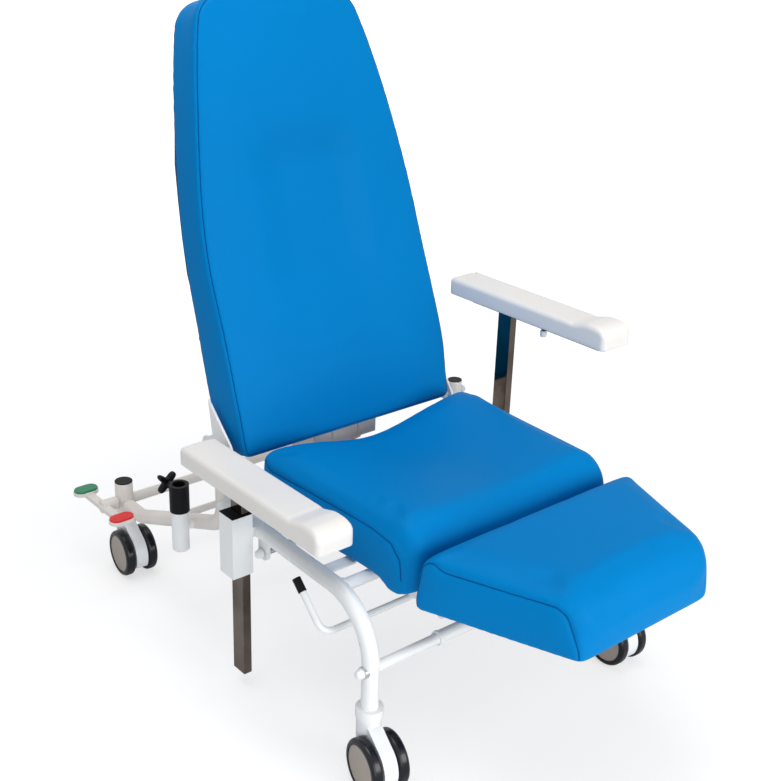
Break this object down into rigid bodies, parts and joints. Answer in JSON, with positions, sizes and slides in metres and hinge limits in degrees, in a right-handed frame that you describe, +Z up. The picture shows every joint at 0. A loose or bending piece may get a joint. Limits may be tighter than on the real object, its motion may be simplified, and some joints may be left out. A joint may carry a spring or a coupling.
{
  "type": "rest armchair",
  "caption": "Wheeled medical rest armchair with a reclining back, drop-down legrest, lifting armrests, pole socket and pedal brake.",
  "frame": {"origin": "on the floor, at the centre of the chair's plan", "axes": "+Z up, the sitter faces -Y, +X towards the sitter's left"},
  "size_m": [0.7284, 1.2647, 1.1919],
  "materials": {
    "frame": "glossy white powder coat",
    "upholstery": "satin blue vinyl",
    "board": "matt black",
    "arm_pad": "satin moulded foam skin",
    "arm_plate": "satin black",
    "chrome": "polished",
    "black_plastic": "satin",
    "white_plastic": "gloss",
    "steel": "zinc plated",
    "spring_paint": "gloss black",
    "rocker": "satin beige",
    "green": "satin",
    "red": "satin",
    "tyre": "satin",
    "disc": "satin"
  },
  "bodies": {
    "root": {"side_rail_left": "frame", "side_rail_right": "frame", "rear_leg_left": "frame", "rear_leg_right": "frame", "front_cross_tube": "frame", "cross_tube_sleeve": "frame", "rear_cross_tube": "frame", "rear_brace": "frame", "seat_cross_tubes": "frame", "frame_brackets": "frame", "spring_anchor": "steel", "arm_sheaths": "frame", "post_guides": "black_plastic", "tube_plugs": "black_plastic", "caster_stems": "steel", "frame_bolts": "steel", "bolt_caps": "white_plastic", "pivot_bolts": "steel", "pole_socket": "frame", "pole_sleeve": "black_plastic", "seat_board": "board", "seat_cushion": "upholstery"},
    "back": {"hinge_plates": "frame", "back_frame": "frame", "back_board": "board", "back_cushion": "upholstery"},
    "spring_tube": {"spring_cylinder": "spring_paint"},
    "spring_piston": {"spring_rod": "steel"},
    "legrest": {"legrest_bars": "frame", "legrest_board": "board", "legrest_cushion": "upholstery"},
    "arm_left": {"arm_pad_left": "arm_pad", "arm_plate_left": "arm_plate", "arm_post_left": "chrome"},
    "arm_right": {"arm_pad_right": "arm_pad", "arm_plate_right": "arm_plate", "arm_post_right": "chrome"},
    "lever": {"release_lever": "frame", "lever_grip": "black_plastic"},
    "pole_screw": {"pole_knob": "black_plastic"},
    "brake": {"brake_rocker": "rocker", "brake_shaft": "steel", "green_pad": "green", "red_pad": "red"},
    "front_left_caster": {"front_left_body": "white_plastic", "front_left_axle": "steel"},
    "front_left_wheels": {"front_left_tyres": "tyre", "front_left_discs": "disc"},
    "front_right_caster": {"front_right_body": "white_plastic", "front_right_axle": "steel"},
    "front_right_wheels": {"front_right_tyres": "tyre", "front_right_discs": "disc"},
    "rear_left_caster": {"rear_left_body": "white_plastic", "rear_left_axle": "steel"},
    "rear_left_wheels": {"rear_left_tyres": "tyre", "rear_left_discs": "disc"},
    "rear_right_caster": {"rear_right_body": "white_plastic", "rear_right_axle": "steel"},
    "rear_right_wheels": {"rear_right_tyres": "tyre", "rear_right_discs": "disc"}
  },
  "joints": [
    {"name": "back_recline", "type": "hinge", "parent": "root", "child": "back", "pos_m": [0, 0.133, 0.407], "axis": [-1, 0, 0], "range_deg": [0, 45]},
    {"name": "spring_tilt", "type": "hinge", "parent": "root", "child": "spring_tube", "pos_m": [0, -0.005, 0.285], "axis": [-1, 0, 0], "range_deg": [0, 22.5]},
    {"name": "spring_stroke", "type": "slide", "parent": "spring_tube", "child": "spring_piston", "axis": [0, 1, 0], "range_m": [-0.112, 0]},
    {"name": "legrest_hinge", "type": "hinge", "parent": "root", "child": "legrest", "pos_m": [0, -0.362, 0.304], "axis": [1, 0, 0], "range_deg": [0, 78]},
    {"name": "arm_left_slide", "type": "slide", "parent": "root", "child": "arm_left", "axis": [0, 0, 1], "range_m": [0, 0.2025]},
    {"name": "arm_right_slide", "type": "slide", "parent": "root", "child": "arm_right", "axis": [0, 0, 1], "range_m": [-0.18, 0]},
    {"name": "release_lever_turn", "type": "hinge", "parent": "root", "child": "lever", "pos_m": [-0.34, -0.243, 0.258], "axis": [1, 0, 0], "range_deg": [0, 18], "stiffness_Nm_per_rad": 1, "springref_deg": -17.19},
    {"name": "pole_knob_turn", "type": "hinge", "parent": "root", "child": "pole_screw", "pos_m": [-0.33036, 0.26, 0.32302], "axis": [0, 1, 0], "continuous": true},
    {"name": "brake_pedal", "type": "hinge", "parent": "root", "child": "brake", "pos_m": [-0.335, 0.536, 0.156], "axis": [1, 0, 0], "range_deg": [-15, 15]},
    {"name": "front_left_swivel", "type": "hinge", "parent": "root", "child": "front_left_caster", "pos_m": [-0.301, -0.32, 0.11], "axis": [0, 0, 1], "continuous": true},
    {"name": "front_left_roll", "type": "hinge", "parent": "front_left_caster", "child": "front_left_wheels", "pos_m": [-0.30601, -0.35161, 0.05], "axis": [0.9877, -0.1564, 0], "continuous": true},
    {"name": "front_right_swivel", "type": "hinge", "parent": "root", "child": "front_right_caster", "pos_m": [0.301, -0.32, 0.11], "axis": [0, 0, 1], "continuous": true},
    {"name": "front_right_roll", "type": "hinge", "parent": "front_right_caster", "child": "front_right_wheels", "pos_m": [0.29933, -0.35196, 0.05], "axis": [0.9986, -0.0523, 0], "continuous": true},
    {"name": "rear_left_swivel", "type": "hinge", "parent": "root", "child": "rear_left_caster", "pos_m": [-0.285, 0.536, 0.11], "axis": [0, 0, 1], "continuous": true},
    {"name": "rear_left_roll", "type": "hinge", "parent": "rear_left_caster", "child": "rear_left_wheels", "pos_m": [-0.28723, 0.50408, 0.05], "axis": [0.9976, -0.0698, 0], "continuous": true},
    {"name": "rear_right_swivel", "type": "hinge", "parent": "root", "child": "rear_right_caster", "pos_m": [0.285, 0.536, 0.11], "axis": [0, 0, 1], "continuous": true},
    {"name": "rear_right_roll", "type": "hinge", "parent": "rear_right_caster", "child": "rear_right_wheels", "pos_m": [0.285, 0.504, 0.05], "axis": [1, 0, 0], "continuous": true}
  ],
  "couplings": [
    {"joint": "spring_tilt", "follows": "back_recline", "ratio": 0.5},
    {"joint": "spring_stroke", "follows": "back_recline", "m_per_rad": -0.1426}
  ]
}
